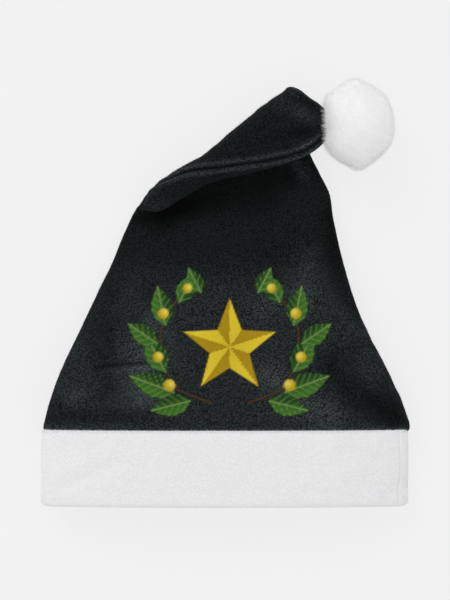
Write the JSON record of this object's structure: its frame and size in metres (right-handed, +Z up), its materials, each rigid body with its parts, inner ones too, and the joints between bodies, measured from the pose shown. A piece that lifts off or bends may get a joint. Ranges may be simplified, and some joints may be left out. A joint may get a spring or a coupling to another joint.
{
  "type": "santa hat",
  "caption": "Soft fleece santa hat lying on its back with its tip folded over, a doubled white cuff round the mouth and a plush pompom on the tip.",
  "frame": {"origin": "centre of the hat's outline, on the surface that it lies on", "axes": "+Z up from the surface, +X to the right along the mouth as the front panel is looked at, +Y from the mouth to the tip"},
  "size_m": [0.2908, 0.3379, 0.0597],
  "materials": {
    "black_fleece": "brushed polyester fleece, black with a faint green-blue cast",
    "white_fleece": "brushed polyester fleece, white",
    "white_thread": "overlocked fleece edges with matt white thread",
    "black_thread": "overlocked fleece edges with matt black thread",
    "white_plush": "fluffy white plush",
    "white_fibre": "loose polyester fibre"
  },
  "bodies": {
    "root": {"crown_front": "black_fleece", "crown_back": "black_fleece", "cuff": "white_fleece", "mouth_seam": "white_thread", "side_seam_left": "black_thread", "side_seam_right": "black_thread", "pompom": "white_plush", "pompom_filling": "white_fibre"}
  },
  "joints": []
}
